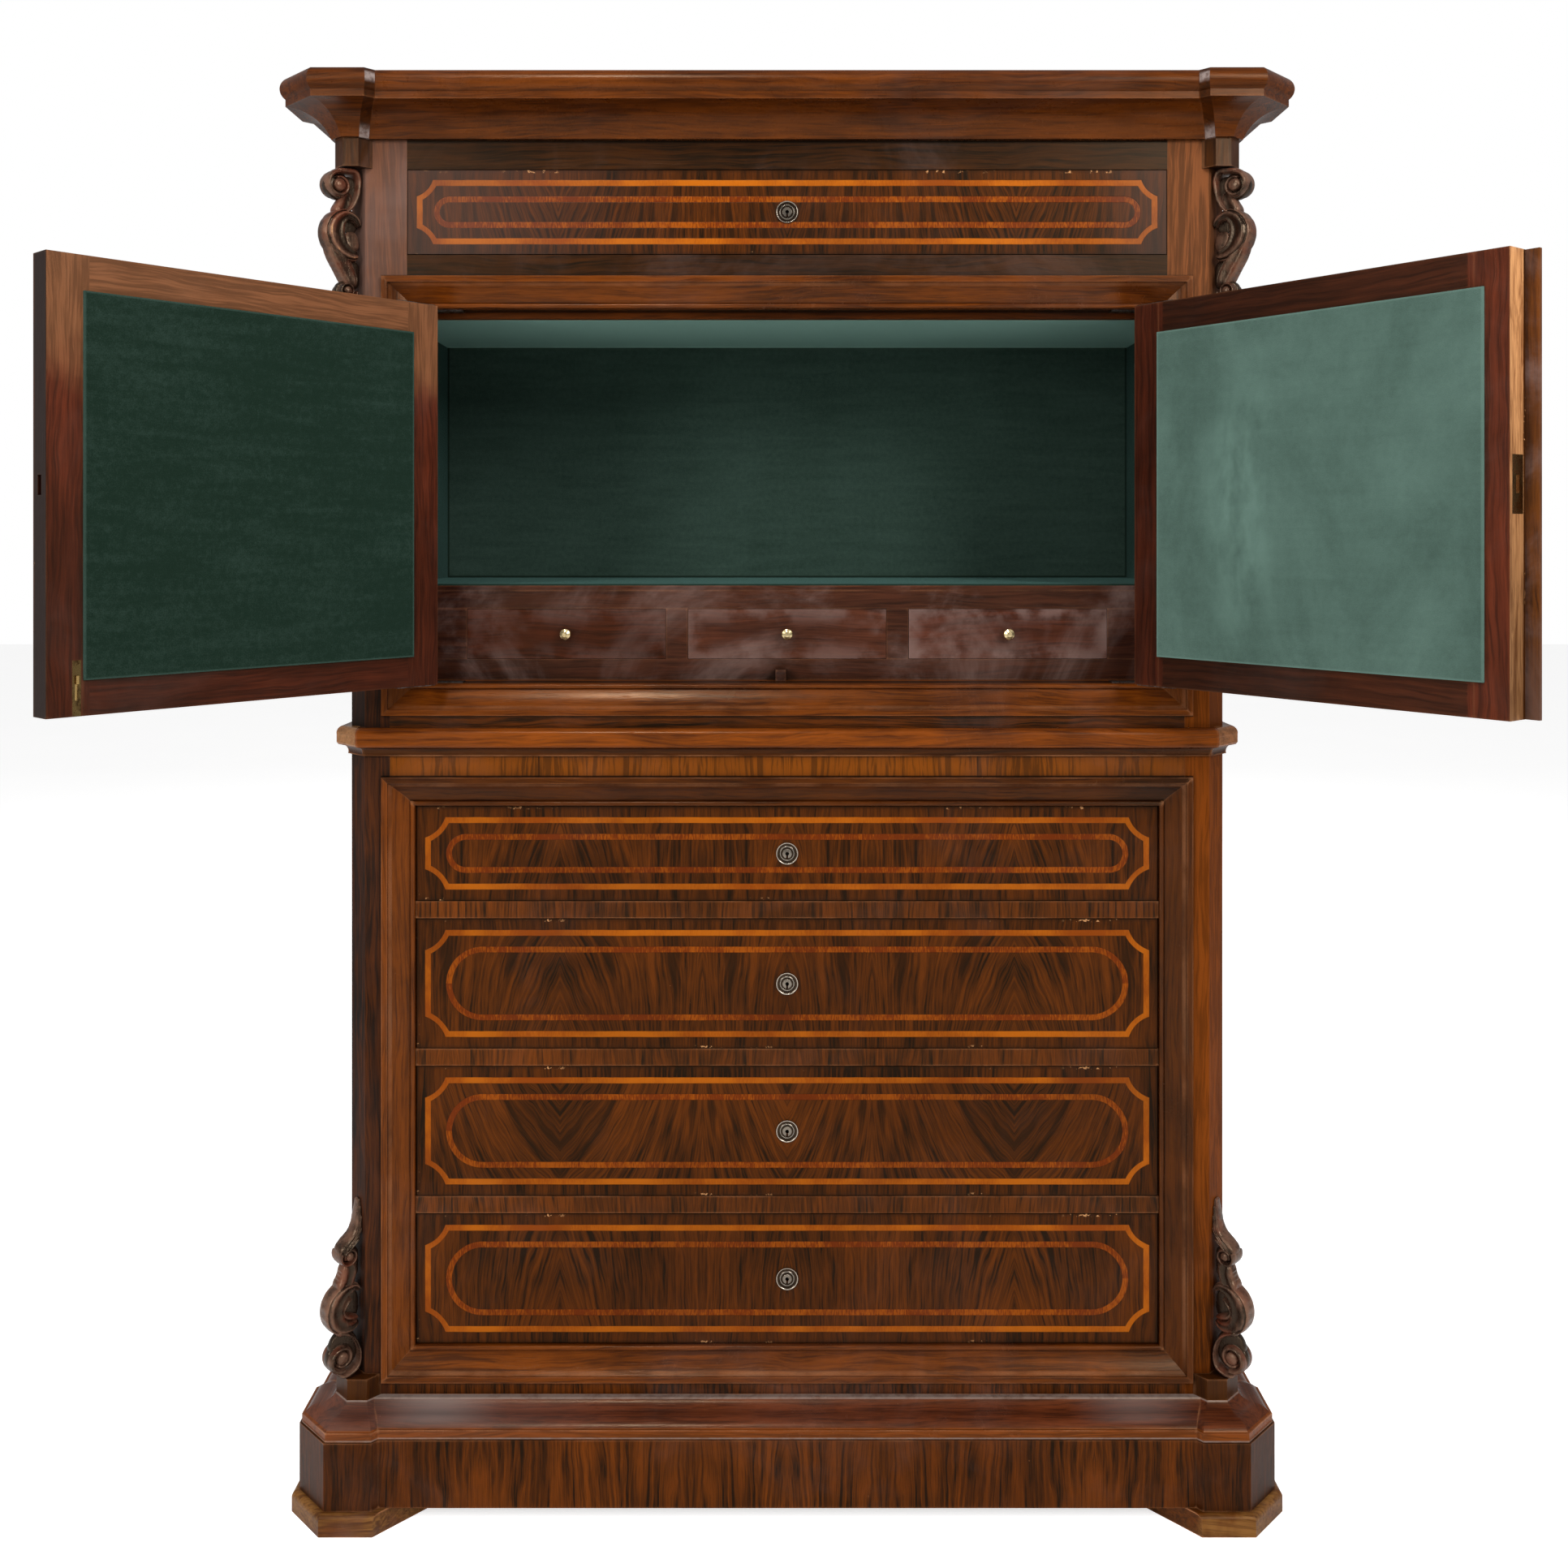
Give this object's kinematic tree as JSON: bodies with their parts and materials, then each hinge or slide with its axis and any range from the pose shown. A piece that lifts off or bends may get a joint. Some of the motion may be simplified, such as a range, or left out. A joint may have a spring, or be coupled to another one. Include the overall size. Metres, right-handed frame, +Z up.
{
  "type": "chiffonier",
  "caption": "Tall inlaid chiffonier: drawers in a moulded frame, a felt-lined cupboard with a nest of small drawers behind two doors, a frieze drawer, and a broken cornice over scroll brackets.",
  "frame": {"origin": "on the floor, under the middle of the whole box with the doors as they stand open", "axes": "+Z up, +X to the right as seen from the front, +Y into the case, so the drawers pull out along -Y"},
  "size_m": [1.4058, 0.7434, 1.66],
  "materials": {
    "walnut_veneer": "french polish",
    "mahogany_frame": "french polish",
    "case_pine": "raw",
    "carved_walnut": "worn polish",
    "felt_green": "napped",
    "brass": "aged",
    "pewter": "aged",
    "iron": "dull"
  },
  "bodies": {
    "carcass": {"case_sides": "walnut_veneer", "corner_posts": "walnut_veneer", "back_boards": "case_pine", "case_boards": "walnut_veneer", "front_rails": "walnut_veneer", "drawer_rails": "walnut_veneer", "guide_boards": "case_pine", "drawer_runners": "case_pine", "cornice": "walnut_veneer", "corner_blocks": "walnut_veneer", "upper_scroll_left": "carved_walnut", "upper_scroll_right": "carved_walnut", "lower_scroll_left": "carved_walnut", "lower_scroll_right": "carved_walnut", "upper_frame_moulding": "walnut_veneer", "lower_frame_moulding": "walnut_veneer", "waist_moulding": "walnut_veneer", "plinth": "walnut_veneer", "base_moulding": "walnut_veneer", "feet": "walnut_veneer", "felt_lining": "felt_green", "small_drawer_case": "mahogany_frame", "case_pivots": "iron"},
    "door_left": {"door_left_leaf": "mahogany_frame", "door_left_felt": "felt_green", "door_left_pivots": "iron", "flush_bolt_plate": "brass"},
    "flush_bolt": {"flush_bolt": "iron"},
    "door_right": {"door_right_leaf": "mahogany_frame", "door_right_felt": "felt_green", "door_right_pivots": "iron", "door_astragal": "case_pine", "door_lock": "brass"},
    "door_lock_bolt": {"door_lock_bolt": "brass"},
    "frieze_drawer": {"frieze_drawer_front": "walnut_veneer", "frieze_drawer_box": "case_pine", "frieze_drawer_lock": "pewter"},
    "frieze_drawer_bolt": {"frieze_drawer_bolt": "iron"},
    "drawer_1": {"drawer_1_front": "walnut_veneer", "drawer_1_box": "case_pine", "drawer_1_lock": "pewter"},
    "drawer_1_bolt": {"drawer_1_bolt": "iron"},
    "drawer_2": {"drawer_2_front": "walnut_veneer", "drawer_2_box": "case_pine", "drawer_2_lock": "pewter"},
    "drawer_2_bolt": {"drawer_2_bolt": "iron"},
    "drawer_3": {"drawer_3_front": "walnut_veneer", "drawer_3_box": "case_pine", "drawer_3_lock": "pewter"},
    "drawer_3_bolt": {"drawer_3_bolt": "iron"},
    "drawer_4": {"drawer_4_front": "walnut_veneer", "drawer_4_box": "case_pine", "drawer_4_lock": "pewter"},
    "drawer_4_bolt": {"drawer_4_bolt": "iron"},
    "small_drawer_1": {"small_drawer_1": "mahogany_frame", "small_drawer_1_knob": "brass"},
    "small_drawer_2": {"small_drawer_2": "mahogany_frame", "small_drawer_2_knob": "brass"},
    "small_drawer_3": {"small_drawer_3": "mahogany_frame", "small_drawer_3_knob": "brass"}
  },
  "joints": [
    {"name": "door_left_hinge", "type": "hinge", "parent": "carcass", "child": "door_left", "pos_m": [-0.435, -0.00026, 1.179], "axis": [0, 0, -1], "range_deg": [-131, 39]},
    {"name": "door_right_hinge", "type": "hinge", "parent": "carcass", "child": "door_right", "pos_m": [0.435, -0.00026, 1.179], "axis": [0, 0, 1], "range_deg": [-127, 43]},
    {"name": "flush_bolt_slide", "type": "slide", "parent": "door_left", "child": "flush_bolt", "axis": [0, 0, -1], "range_m": [0, 0.009]},
    {"name": "door_lock_bolt_slide", "type": "slide", "parent": "door_right", "child": "door_lock_bolt", "axis": [0.6018, -0.7986, 0], "range_m": [0, 0.008]},
    {"name": "frieze_drawer_slide", "type": "slide", "parent": "carcass", "child": "frieze_drawer", "axis": [0, -1, 0], "range_m": [0, 0.25]},
    {"name": "frieze_drawer_bolt_slide", "type": "slide", "parent": "frieze_drawer", "child": "frieze_drawer_bolt", "axis": [0, 0, 1], "range_m": [0, 0.008]},
    {"name": "drawer_1_slide", "type": "slide", "parent": "carcass", "child": "drawer_1", "axis": [0, -1, 0], "range_m": [0, 0.25]},
    {"name": "drawer_1_bolt_slide", "type": "slide", "parent": "drawer_1", "child": "drawer_1_bolt", "axis": [0, 0, 1], "range_m": [0, 0.008]},
    {"name": "drawer_2_slide", "type": "slide", "parent": "carcass", "child": "drawer_2", "axis": [0, -1, 0], "range_m": [0, 0.25]},
    {"name": "drawer_2_bolt_slide", "type": "slide", "parent": "drawer_2", "child": "drawer_2_bolt", "axis": [0, 0, 1], "range_m": [0, 0.008]},
    {"name": "drawer_3_slide", "type": "slide", "parent": "carcass", "child": "drawer_3", "axis": [0, -1, 0], "range_m": [0, 0.25]},
    {"name": "drawer_3_bolt_slide", "type": "slide", "parent": "drawer_3", "child": "drawer_3_bolt", "axis": [0, 0, 1], "range_m": [0, 0.008]},
    {"name": "drawer_4_slide", "type": "slide", "parent": "carcass", "child": "drawer_4", "axis": [0, -1, 0], "range_m": [0, 0.25]},
    {"name": "drawer_4_bolt_slide", "type": "slide", "parent": "drawer_4", "child": "drawer_4_bolt", "axis": [0, 0, 1], "range_m": [0, 0.008]},
    {"name": "small_drawer_1_slide", "type": "slide", "parent": "carcass", "child": "small_drawer_1", "axis": [0, -1, 0], "range_m": [0, 0.14]},
    {"name": "small_drawer_2_slide", "type": "slide", "parent": "carcass", "child": "small_drawer_2", "axis": [0, -1, 0], "range_m": [0, 0.14]},
    {"name": "small_drawer_3_slide", "type": "slide", "parent": "carcass", "child": "small_drawer_3", "axis": [0, -1, 0], "range_m": [0, 0.14]}
  ]
}
